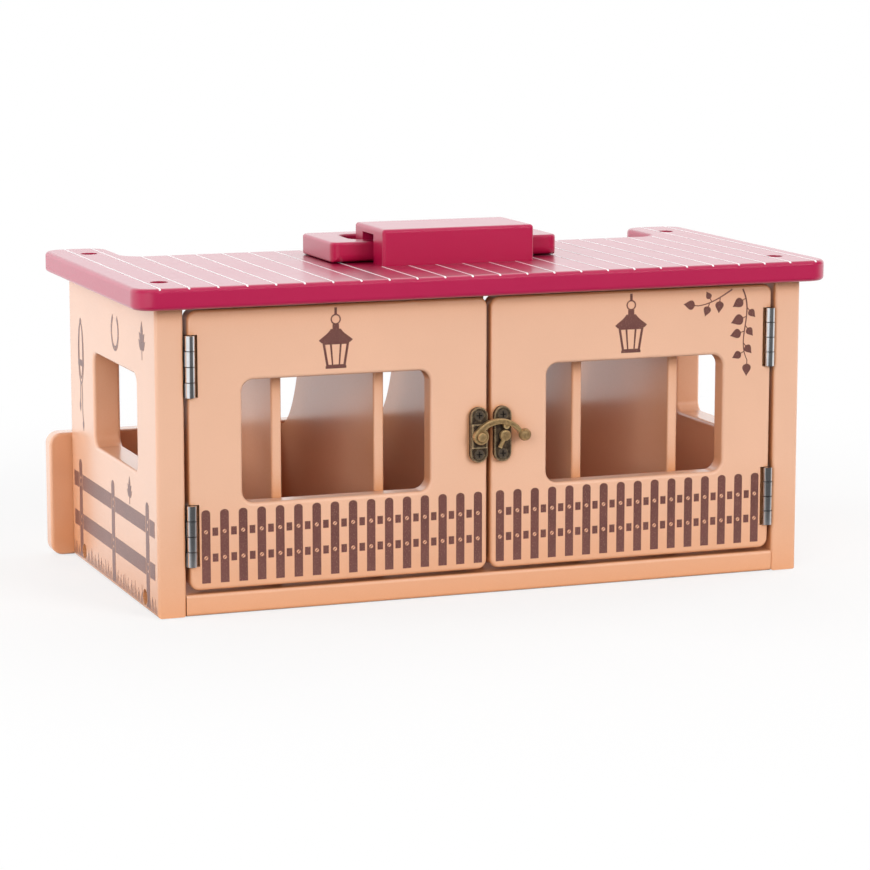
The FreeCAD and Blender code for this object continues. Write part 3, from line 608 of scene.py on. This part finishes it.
@dataclass
class Roof:
    """Roof board with white lines from back to front, and its carry handle."""

    line_count: int = 25
    line_pitch: float = 12.2
    line_shift: float = 1.5
    line_width: float = 0.9
    line_thickness: float = 0.06
    line_sink: float = 0.03
    rounding: tuple[float, ...] = (0.0, 0.08, 0.25, 0.5, 0.75, 1.0)
    blunt_end: float = 0.12
    edge_radius: float = 1.8
    wrap: float = 52.0
    wrap_steps: int = 14
    end_gap: float = 0.25
    recess_depth: float = 40.0
    tab_width: float = 28.5

    def dress(self) -> None:
        """Paint the roof and the handle."""
        along_x = RASPBERRY_PAINT.material(Grain.ALONG_X)
        for name in ("roof", "handle_ring", "handle_bridge"):
            dress(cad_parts[name], along_x)

    def _path(self, rear: float, front: float, top: float, over_edge: bool) -> Skin:
        """Return a line's points and outward directions, from its rear end to its front end.

        Args:
            rear: Where the line starts, along Y.
            front: Where it ends, or the outermost front of the roof.
            top: The roof's top level.
            over_edge: Whether the line wraps over the rounded front edge.

        Returns:
            Points on the roof's skin, with their directions.
        """
        up = Vector((0, 0, 1))
        radius = self.line_width / 2
        path = [(Vector((0, rear - radius * share, top)), up) for share in self.rounding]
        if not over_edge:
            return path + [(Vector((0, front, top)), up)]
        middle = Vector((0, front + self.edge_radius, top - self.edge_radius))
        for index in range(self.wrap_steps + 1):
            angle = math.radians(self.wrap * index / self.wrap_steps)
            out = Vector((0, -math.sin(angle), math.cos(angle)))
            path.append((middle + out * self.edge_radius, out))
        return path

    def _strip(self, x: float, path: Skin, round_front: bool) -> tuple[list[Vector], list[tuple[int, ...]]]:
        """Return the corners and faces of one painted line.

        Args:
            x: The line's middle.
            path: Points on the skin and their outward directions.
            round_front: Whether the front end is round.

        Returns:
            Corners in metres and faces.
        """
        lengths = [0.0]
        for (before, _), (after, _) in zip(path, path[1:]):
            lengths.append(lengths[-1] + (after - before).length)
        radius = self.line_width / 2
        corners, faces = [], []
        for along, (point, out) in zip(lengths, path):
            near = min(along, lengths[-1] - along) if round_front else along
            inset = max(0.0, radius - near)
            half = max(self.blunt_end * radius, math.sqrt(max(0.0, radius ** 2 - inset ** 2)))
            for side, lift in ((-1, self.line_thickness), (1, self.line_thickness),
                               (1, -self.line_sink), (-1, -self.line_sink)):
                corners.append((point + Vector((x + side * half, 0, 0)) + out * lift) * MM)
        for ring in range(len(path) - 1):
            here, there = 4 * ring, 4 * ring + 4
            for a, b in ((0, 1), (1, 2), (2, 3), (3, 0)):
                faces.append((here + a, there + a, there + b, here + b))
        end = 4 * (len(path) - 1)
        faces += [(0, 1, 2, 3), (end + 3, end + 2, end + 1, end)]
        return corners, faces

    def build(self) -> None:
        """Print the white lines on the roof's top, broken under the handle's bridge."""
        low, high = span("roof")
        bridge_low, bridge_high = span("handle_bridge")
        recess, tab_edge = high.y - self.recess_depth, high.x - self.tab_width
        corners, faces = [], []
        for index in range(self.line_count):
            x = (index - (self.line_count - 1) / 2) * self.line_pitch + self.line_shift
            edge = high.y if abs(x) > tab_edge + self.edge_radius else recess
            rear = edge - self.edge_radius - self.end_gap
            runs = [(rear, low.y, True)]
            if bridge_low.x - self.line_width < x < bridge_high.x + self.line_width:
                runs = [(rear, bridge_high.y + self.end_gap, False),
                        (bridge_low.y - self.end_gap, low.y, True)]
            for start, end, over_edge in runs:
                more, rings = self._strip(x, self._path(start, end, high.z, over_edge), over_edge)
                faces += [tuple(number + len(corners) for number in ring) for ring in rings]
                corners += more
        lines = new_piece("roof_white_lines", corners, faces)
        dress(lines, WHITE_INK.material())
        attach(lines, "house")


@dataclass
class Lantern:
    """Printed lantern, measured sideways from its middle and down from the edge that it hangs from.

    A bar is half its width, its upper and its lower end. The ring is its middle, its radius and its hole's.
    """

    chain: Triple = (0.55, 1.5, 4.6)
    ring: Triple = (6.4, 2.25, 1.65)
    neck: Triple = (1.4, 8.4, 10.6)
    peak_drop: float = 10.4
    peak_slope: tuple[Point, Point] = ((2.2, 0.0), (3.4, -2.0))
    eaves_drop: float = 15.6
    eaves_slope: tuple[Point, Point] = ((5.6, 2.2), (7.4, 0.6))
    eaves_half: float = 6.2
    eaves_lip: float = 0.5
    base_drop: float = 26.2
    base_half: float = 4.1
    glass_half: float = 5.9
    panes: tuple[Pair, ...] = ((-0.79, -0.43), (-0.29, 0.29), (0.43, 0.79))
    pane_margins: Pair = (1.2, 1.0)
    foot: Triple = (4.5, 25.7, 26.8)

    def stencil(self, u: float, top: float) -> Stencil:
        """Lay the lantern from its chain down to its foot.

        Args:
            u: The lantern's middle.
            top: The edge that it hangs from.

        Returns:
            The lantern's own stencil.
        """
        print_ = Stencil()
        half, high, low = self.chain
        print_.ink(bar(u - half, top - low, u + half, top - high))
        drop, outer, hole = self.ring
        print_.ink(disc((u, top - drop), outer))
        print_.clear(disc((u, top - drop), hole))
        half, high, low = self.neck
        print_.ink(bar(u - half, top - low, u + half, top - high))
        peak, eaves, base = top - self.peak_drop, top - self.eaves_drop, top - self.base_drop
        right = curve(*((u + a, peak + b) for a, b in self.peak_slope),
                      *((u + a, eaves + b) for a, b in self.eaves_slope))
        left = [(2 * u - a, b) for a, b in reversed(right)]
        lip = eaves - self.eaves_lip
        print_.ink([*left, *right, (u + self.eaves_half, lip), (u - self.eaves_half, lip)])
        wide, narrow = self.glass_half, self.base_half
        print_.ink([(u - wide, eaves), (u - narrow, base), (u + narrow, base), (u + wide, eaves)])
        rim, floor = eaves - self.pane_margins[0], base + self.pane_margins[1]
        for start, end in self.panes:
            print_.clear([(u + wide * start, rim), (u + narrow * start, floor),
                          (u + narrow * end, floor), (u + wide * end, rim)])
        half, high, low = self.foot
        print_.ink(bar(u - half, top - low, u + half, top - high))
        return print_


@dataclass
class DoorPrint:
    """Print on one door: a picket fence under the window and a lantern above it."""

    door: str
    side: int
    lantern_shift: float
    ink: Material
    pickets: int = 16
    picket_width: float = 3.7
    picket_height: float = 30.6
    picket_lift: float = 2.9
    meeting_margin: float = 4.2
    hinge_margin: float = 6.8
    rail_levels: Pair = (0.345, 0.70)
    rail_width: float = 2.4
    rail_height: float = 3.4
    crown: float = 0.8
    dot_radius: float = 0.85
    slot_width: float = 0.3
    slot_reach: float = 0.6

    def fence(self) -> Stencil:
        """Lay the picket fence with its rails and screw heads.

        Returns:
            The fence's own stencil.
        """
        low, high = span(self.door)
        near, far = sorted((low.x, high.x), key=abs)
        first = near + self.side * self.meeting_margin
        last = far - self.side * self.hinge_margin
        pitch = (last - first) / (self.pickets - 1)
        bottom = low.z + self.picket_lift
        half = self.picket_width / 2
        reach = self.dot_radius * self.slot_reach
        print_ = Stencil()
        for index in range(self.pickets):
            u = first + pitch * index
            shoulder = bottom + self.picket_height - half * self.crown
            top = [(u + half * a, shoulder + half * self.crown * b) for a, b in arc((0, 0), 1, 0, 180, 10)]
            print_.ink([(u - half, bottom), (u + half, bottom), *top])
            for level in self.rail_levels:
                v = bottom + self.picket_height * level
                print_.clear(disc((u, v), self.dot_radius))
                slant = [(u - reach, v - reach), (u + reach, v + reach)]
                print_.ink(stroke(slant, lambda share: self.slot_width))
                if index < self.pickets - 1:
                    between = u + pitch / 2
                    print_.ink(bar(between - self.rail_width / 2, v - self.rail_height / 2,
                                   between + self.rail_width / 2, v + self.rail_height / 2))
        return print_

    def build(self) -> None:
        """Print the fence on the door's front, and the lantern over the middle of its window."""
        low, high = span(self.door)
        lantern = Lantern().stencil((low.x + high.x) / 2 + self.lantern_shift, high.z)
        for name, print_ in (("fence", self.fence()), ("lantern", lantern)):
            piece = print_.sheet(f"{self.door}_{name}_print", Face.FRONT, -low.y)
            dress(piece, self.ink)
            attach(piece, self.door)


@dataclass
class LeafPrint:
    """Trailing leaf sprig in the upper hinge corner of the right door.

    A stem is four points of a curve, from that corner. A leaf is its place on the stem, its angle and length.
    """

    ink: Material
    door: str = "right_door"
    stem_width: float = 0.55
    stem_taper: Pair = (1.25, 0.6)
    stalk_length: float = 1.6
    stalk_width: float = 0.7
    leaf_width: float = 0.62
    top_gap: float = 1.6
    main_stem: tuple[Point, ...] = ((-14, 0), (-8, -11), (-17, -21), (-11.5, -31))
    main_steps: int = 24
    main_leaves: tuple[Triple, ...] = (
        (0.14, -150, 5.6), (0.24, -48, 4.4), (0.36, -160, 6.2), (0.48, -52, 4.4),
        (0.6, -165, 5.4), (0.74, -50, 4.6), (0.86, -155, 4.6), (1.0, -92, 5.4))
    side_stem: tuple[Point, ...] = ((-19, 0), (-24, -3), (-29, -6), (-35, -6.5))
    side_steps: int = 16
    side_leaves: tuple[Triple, ...] = (
        (0.35, -95, 5.2), (0.62, 120, 3.6), (0.7, -110, 4.6), (1.0, 172, 5.4))

    def _spray(self, print_: Stencil, path: Outline, leaves: Iterable[Triple]) -> None:
        """Lay a stem with leaves on both sides.

        Args:
            print_: The stencil that takes it.
            path: The stem's middle, from its root.
            leaves: The leaves along it.
        """
        thick, taper = self.stem_taper
        print_.ink(stroke(path, lambda share: self.stem_width * (thick - taper * share)))
        last = len(path) - 1
        for share, angle, length in leaves:
            root = path[round(share * last)]
            turn, reach = math.radians(angle), self.stalk_length
            stalk = (root[0] + reach * math.cos(turn), root[1] + reach * math.sin(turn))
            print_.ink(stroke([root, stalk], lambda share: self.stem_width * self.stalk_width))
            print_.ink(leaf(stalk, angle, length, length * self.leaf_width))

    def build(self) -> None:
        """Print the sprig on the door's front."""
        low, high = span(self.door)
        edge, top = high.x, high.z - self.top_gap
        print_ = Stencil()
        for stem, steps, leaves in ((self.main_stem, self.main_steps, self.main_leaves),
                                    (self.side_stem, self.side_steps, self.side_leaves)):
            self._spray(print_, curve(*((edge + u, top + v) for u, v in stem), steps), leaves)
        piece = print_.sheet("right_door_leaf_print", Face.FRONT, -low.y)
        dress(piece, self.ink)
        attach(piece, self.door)


@dataclass
class Horseshoe:
    """Printed horseshoe with its open end up, drawn on ovals given by their radius across and upright."""

    outer: Pair = (6.4, 8.4)
    inner: Pair = (4.6, 6.3)
    end_turn: int = 145
    turn_step: int = 10
    nail_row: Pair = (5.5, 7.35)
    nail_radius: float = 0.5
    nail_turn: int = 112
    nail_step: int = 32

    @staticmethod
    def _oval(middle: Point, radii: Pair, turns: Iterable[int]) -> Outline:
        """Return points on an oval, at turns in degrees from its lowest point."""
        angles = [math.radians(turn) for turn in turns]
        return [(middle[0] + radii[0] * math.sin(a), middle[1] - radii[1] * math.cos(a)) for a in angles]

    def lay(self, print_: Stencil, middle: Point) -> None:
        """Lay the shoe and its row of nail holes.

        Args:
            print_: The stencil that takes them.
            middle: The shoe's middle.
        """
        turns = range(-self.end_turn, self.end_turn + 1, self.turn_step)
        print_.ink(self._oval(middle, self.outer, turns) + self._oval(middle, self.inner, reversed(turns)))
        nails = range(-self.nail_turn, self.nail_turn + 1, self.nail_step)
        for hole in self._oval(middle, self.nail_row, nails):
            print_.clear(disc(hole, self.nail_radius, 10))


@dataclass
class LeadRope:
    """Printed lead rope that hangs from a peg in two coils, with a band round it and two loose ends."""

    width: float = 1.0
    coils: tuple[Pair, ...] = ((4.4, 27.0), (3.0, 24.5))
    coil_step: int = 12
    band_half: float = 4.9
    band_drops: Pair = (16.4, 19.2)
    peg_lift: float = 0.6
    peg_radius: float = 1.5
    ends: tuple[Pair, ...] = ((2.6, 44.0), (-2.2, 36.0))
    end_sway: Pair = (0.3, 0.2)
    end_drops: Pair = (26, 31)
    end_rise: float = 6
    tassel_lift: float = 0.8
    tassel: Triple = (-88, 4.6, 2.2)

    def lay(self, print_: Stencil, peg: Point) -> None:
        """Lay the coils, the band, the peg and the loose ends.

        Args:
            print_: The stencil that takes them.
            peg: Where the rope hangs.
        """
        u, v = peg
        turns = [math.radians(turn) for turn in range(0, 361, self.coil_step)]
        for half, drop in self.coils:
            coil = [(u + half * math.sin(turn), v - drop / 2 + drop / 2 * math.cos(turn)) for turn in turns]
            print_.ink(stroke(coil, lambda share: self.width))
        high, low = self.band_drops
        print_.ink(bar(u - self.band_half, v - low, u + self.band_half, v - high))
        print_.ink(disc((u, v + self.peg_lift), self.peg_radius, 14))
        start, bend = self.end_drops
        for lean, drop in self.ends:
            tail = curve((u + lean * self.end_sway[0], v - start), (u + lean, v - bend),
                         (u + lean * self.end_sway[1], v - drop + self.end_rise), (u + lean, v - drop))
            print_.ink(stroke(tail, lambda share: self.width))
            print_.ink(leaf((u + lean, v - drop + self.tassel_lift), *self.tassel))


@dataclass
class Sprig:
    """Small printed upright sprig, drawn in shares of its size; a leaf is its height, angle and length."""

    stalk: Pair = (-0.75, 0.3)
    stalk_width: float = 0.7
    leaf_width: float = 0.3
    leaves: tuple[Triple, ...] = (
        (-0.3, 35, 0.62), (-0.3, 145, 0.62), (0.0, 42, 0.55), (0.0, 138, 0.55), (0.25, 90, 0.6))

    def lay(self, print_: Stencil, middle: Point, size: float) -> None:
        """Lay the stalk and its leaves.

        Args:
            print_: The stencil that takes them.
            middle: Where the middle leaves meet the stalk.
            size: The sprig's size.
        """
        u, v = middle
        print_.ink(stroke([(u, v + size * height) for height in self.stalk], lambda share: self.stalk_width))
        for height, angle, length in self.leaves:
            print_.ink(leaf((u, v + size * height), angle, size * length, size * self.leaf_width))


@dataclass
class WallPrint:
    """Print on one outside wall: a rail fence in grass, a horseshoe, a lead rope and two sprigs.

    Places are depths from the wall's front edge, and heights.
    """

    wall: str
    face: Face
    ink: Material
    posts: Triple = (15.5, 70.5, 126.0)
    post_width: float = 5.0
    post_height: float = 46.0
    post_foot: float = 2.0
    gap_width: float = 0.7
    gap_foot: float = 3.5
    gap_drop: float = 1.0
    rails: Pair = (18.5, 36.2)
    rail_height: float = 6.8
    nail_offset: float = 1.5
    nail_radius: float = 0.75
    margin: float = 4.5
    blades: int = 58
    blade_margin: float = 3.0
    blade_foot: float = 1.5
    blade_heights: Triple = (3.2, 2.6, 2.2)
    blade_rhythm: Triple = (1.9, 0.53, 2.7)
    blade_lean: float = 1.6
    blade_width: float = 1.15
    blade_tip: float = 0.12
    horseshoe: Point = (63, 111.0)
    rope: Point = (122, 107.5)
    sprigs: tuple[tuple[Point, float], ...] = (((20, 112.0), 10.0), ((43, 46.0), 7.4))
    screw_depths: Pair = (20.5, 121.5)
    screw_height: float = 5.2
    screw_room: float = 3.8

    def _across(self, depth: float) -> float:
        """Return the print's own coordinate of a depth."""
        right, _ = self.face.value
        return right.y * (span(self.wall)[0].y + depth)

    def _spot(self, place: Point) -> Point:
        """Return a place in the print's own coordinates."""
        return self._across(place[0]), place[1]

    def _rail_fence(self, print_: Stencil) -> None:
        """Lay the two rails and the posts in front of them, each with its screws.

        Args:
            print_: The stencil that takes them.
        """
        low, high = span(self.wall)
        start, end = sorted((self._across(self.margin), self._across(high.y - low.y - self.margin)))
        for level in self.rails:
            print_.ink(bar(start, level - self.rail_height / 2, end, level + self.rail_height / 2))
        half = self.post_width / 2
        for depth in self.posts:
            u = self._across(depth)
            print_.clear(bar(u - half - self.gap_width, self.gap_foot,
                             u + half + self.gap_width, self.post_height - self.gap_drop))
            crown = arc((u, self.post_height - half), half, 0, 180, 10)
            print_.ink([(u - half, self.post_foot), (u + half, self.post_foot), *crown])
            for level in self.rails:
                for offset in (self.nail_offset, -self.nail_offset):
                    print_.clear(disc((u, level + offset), self.nail_radius))

    def _grass(self, print_: Stencil) -> None:
        """Lay blades of grass of uneven height and lean along the wall's foot.

        Args:
            print_: The stencil that takes them.
        """
        low, high = span(self.wall)
        run = high.y - low.y - 2 * self.blade_margin
        foot = self.blade_foot
        short, ripple, swell = self.blade_heights
        fast, slow, sway = self.blade_rhythm
        for index in range(self.blades):
            u = self._across(self.blade_margin + run * index / (self.blades - 1))
            height = short + ripple * math.sin(index * fast) ** 2 + swell * math.sin(index * slow) ** 2
            lean = self.blade_lean * math.sin(index * sway)
            path = curve((u, foot), (u, foot + height * 0.4), (u + lean * 0.4, foot + height * 0.7),
                         (u + lean, foot + height), 5)
            print_.ink(stroke(path, lambda share: self.blade_width * (1 - share) + self.blade_tip))

    def build(self) -> None:
        """Print the whole picture on the wall's outside."""
        low, high = span(self.wall)
        _, outward = self.face.value
        level = high.x if outward.x > 0 else -low.x
        print_ = Stencil()
        self._rail_fence(print_)
        self._grass(print_)
        Horseshoe().lay(print_, self._spot(self.horseshoe))
        LeadRope().lay(print_, self._spot(self.rope))
        for place, size in self.sprigs:
            Sprig().lay(print_, self._spot(place), size)
        for depth in self.screw_depths:
            print_.clear(disc((self._across(depth), self.screw_height), self.screw_room, 28))
        piece = print_.sheet(f"{self.wall}_print", self.face, level)
        dress(piece, self.ink)
        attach(piece, "house")


@dataclass
class Hardware:
    """Hinges, latch and screws."""

    def dress(self) -> None:
        """Give every metal node its finish."""
        nickel = NICKEL.material(Grain.ALONG_Z)
        steel = SCREW_STEEL.material(Grain.ALONG_X)
        rubbed, dark, blackened = RUBBED_BRASS.material(), DARK_BRASS.material(), BLACKENED_BRASS.material()
        finishes = {"hook": rubbed, "rivet": rubbed, "stud": rubbed, "plate": dark, "latch_screws": blackened,
                    "hinge": nickel, "leaf": nickel, "roof_screws": steel, "panel_screws": steel,
                    "bridge_screws": steel, "base_screws": steel}
        for name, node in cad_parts.items():
            found = [finish for word, finish in finishes.items() if word in name]
            if found:
                dress(node, found[0])


@dataclass(frozen=True)
class Lamp:
    """Square soft light, with its side in metres and its power in watts."""

    name: str
    spot: Triple
    side: float
    power: float
    reflects: bool = False

    def hang(self, target: Vector) -> None:
        """Hang the lamp.

        Args:
            target: What it points at.
        """
        data = bpy.data.lights.new(self.name, "AREA")
        data.size = self.side
        data.energy = self.power
        lamp = bpy.data.objects.new(self.name, data)
        lamp.location = self.spot
        lamp.rotation_euler = (target - lamp.location).to_track_quat("-Z", "Y").to_euler()
        lamp.visible_glossy = self.reflects
        lamp.visible_camera = False
        bpy.context.scene.collection.objects.link(lamp)


@dataclass
class Studio:
    """Pale floor, soft lights and the camera, in metres; a pair of places is where a fade starts and ends."""

    eye: Triple = (-0.48527, -1.30464, 0.28902)
    yaw: float = 20.487
    pitch: float = 9.465
    lens: float = 131.95
    far_clip: float = 20
    floor_half: float = 4.0
    floor_drop: float = 0.0003
    floor_colour: float = 0.93
    floor_mottle: float = 0.01
    mottle_size: float = 0.3
    white_near: float = 0.72
    white_fade: Pair = (0.2, 0.5)
    dim_front: float = 0.1
    lit_fade: Pair = (-0.22, 0.0)
    rear_fade: Pair = (-0.1, 0.2)
    left_fade: Pair = (-0.5, -0.3)
    right_fade: Pair = (0.35, 0.55)
    right_depths: Pair = (-0.6, -0.35)
    fill: float = 0.28
    front_glow: float = 0.05
    rear_glow: float = 1.15
    behind: Pair = (-0.2, 0.6)
    top_glow: float = 0.6
    above: Pair = (0.35, 0.8)
    aim: Triple = (0, 0, 0.07)
    lamps: tuple[Lamp, ...] = (
        Lamp("key", (0.9, -1.8, 0.75), 0.9, 27),
        Lamp("front_fill", (-1.0, -1.5, 0.6), 1.2, 18),
        Lamp("left_fill", (-1.6, 0.2, 0.5), 1.2, 16),
        Lamp("right_fill", (1.7, 0.4, 0.5), 1.2, 16),
        Lamp("rear_fill", (0.3, 2.0, 0.5), 1.2, 14),
        Lamp("overhead", (0.1, 0.8, 1.5), 1.3, 3, reflects=True))

    def camera(self) -> None:
        """Set the camera where the photograph was taken from."""
        data = bpy.data.cameras.new("camera")
        data.lens = self.lens
        data.clip_end = self.far_clip
        camera = bpy.data.objects.new("camera", data)
        camera.location = self.eye
        camera.rotation_euler = (math.radians(90 - self.pitch), 0, math.radians(-self.yaw))
        bpy.context.scene.collection.objects.link(camera)
        bpy.context.scene.camera = camera

    def floor(self) -> None:
        """Lay the floor: it fades to white around the part, and is white to gloss behind and beside it."""
        half, level = self.floor_half, -self.floor_drop
        corners = [Vector((x * half, y * half, level)) for x, y in ((-1, -1), (1, -1), (1, 1), (-1, 1))]
        floor = new_piece("floor", corners, [(0, 1, 2, 3)])
        material, bench = new_bench("floor")
        place = bench.place()
        distance = bench.node("ShaderNodeVectorMath", {"operation": "LENGTH"}, {"Vector": place}, "Value")
        seen = bench.node("ShaderNodeLightPath", output="Is Camera Ray")
        mirrored = bench.node("ShaderNodeLightPath", output="Is Glossy Ray")
        depth = bench.node("ShaderNodeSeparateXYZ", None, {"Vector": place}, "Y")
        across = bench.node("ShaderNodeSeparateXYZ", None, {"Vector": place}, "X")
        lit = depth.step(*self.lit_fade).larger(seen)
        beside = across.step(*self.right_fade) * depth.step(*self.right_depths)
        pale = depth.step(*self.rear_fade).larger(1 - across.step(*self.left_fade)).larger(beside)
        white_here = self.white_near + distance.step(*self.white_fade) * (1 - self.white_near)
        white_share = white_here * seen + mirrored * pale
        bright = self.dim_front + lit * (1 - self.dim_front)
        mottle = bench.noise(place, self.mottle_size, 2) * self.floor_mottle
        grey = mottle + (self.floor_colour - self.floor_mottle / 2) * bright
        tone = bench.node("ShaderNodeCombineColor", None, {"Red": grey, "Green": grey, "Blue": grey})
        matt = bench.node("ShaderNodeBsdfDiffuse", None, {"Color": tone})
        white = bench.node("ShaderNodeEmission", None, {"Strength": 1.0})
        shaders = {"Fac": white_share, "Shader": matt, "Shader_001": white}
        both = bench.node("ShaderNodeMixShader", None, shaders)
        bench.node("ShaderNodeOutputMaterial", None, {"Surface": both})
        dress(floor, material)

    def world(self) -> None:
        """Set the world: white to the camera, bright behind and dim in front to gloss, else an even fill."""
        world = bpy.data.worlds.new("studio")
        world.use_nodes = True
        bpy.context.scene.world = world
        bench = NodeBench(world.node_tree)
        seen = bench.node("ShaderNodeLightPath", output="Is Camera Ray")
        glossy = bench.node("ShaderNodeLightPath", output="Is Glossy Ray")
        through = bench.node("ShaderNodeLightPath", output="Is Transmission Ray")
        way = bench.node("ShaderNodeTexCoord", output="Generated")
        depth = bench.node("ShaderNodeSeparateXYZ", None, {"Vector": way}, "Y")
        height = bench.node("ShaderNodeSeparateXYZ", None, {"Vector": way}, "Z")
        behind = depth.step(*self.behind) * self.rear_glow
        above = height.step(*self.above) * self.top_glow
        reflected = self.front_glow + behind.larger(above)
        white = seen.larger(through)
        strength = white + (1 - white) * (glossy * reflected + (1 - glossy) * self.fill)
        shown = bench.node("ShaderNodeBackground", None, {"Color": (1, 1, 1, 1), "Strength": strength})
        bench.node("ShaderNodeOutputWorld", None, {"Surface": shown})

    def build(self) -> None:
        """Set up camera, floor, world and lights."""
        self.camera()
        self.floor()
        self.world()
        for lamp in self.lamps:
            lamp.hang(Vector(self.aim))
        bpy.context.scene.view_settings.view_transform = "Standard"


def main() -> None:
    """Build and dress the stable, then set the stage."""
    logging.basicConfig(level=logging.INFO, format="%(name)s: %(message)s")
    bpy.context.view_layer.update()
    ink = BROWN_INK.material()
    roof = Roof()
    Boards().dress()
    roof.dress()
    roof.build()
    Hardware().dress()
    for door, side, lantern_shift in (("left_door", -1, -1.9), ("right_door", 1, -1.2)):
        DoorPrint(door, side, lantern_shift, ink).build()
    LeafPrint(ink).build()
    for wall, face in (("left_wall", Face.LEFT), ("right_wall", Face.RIGHT)):
        WallPrint(wall, face, ink).build()
    Studio().build()


if __name__ == "__main__":
    main()
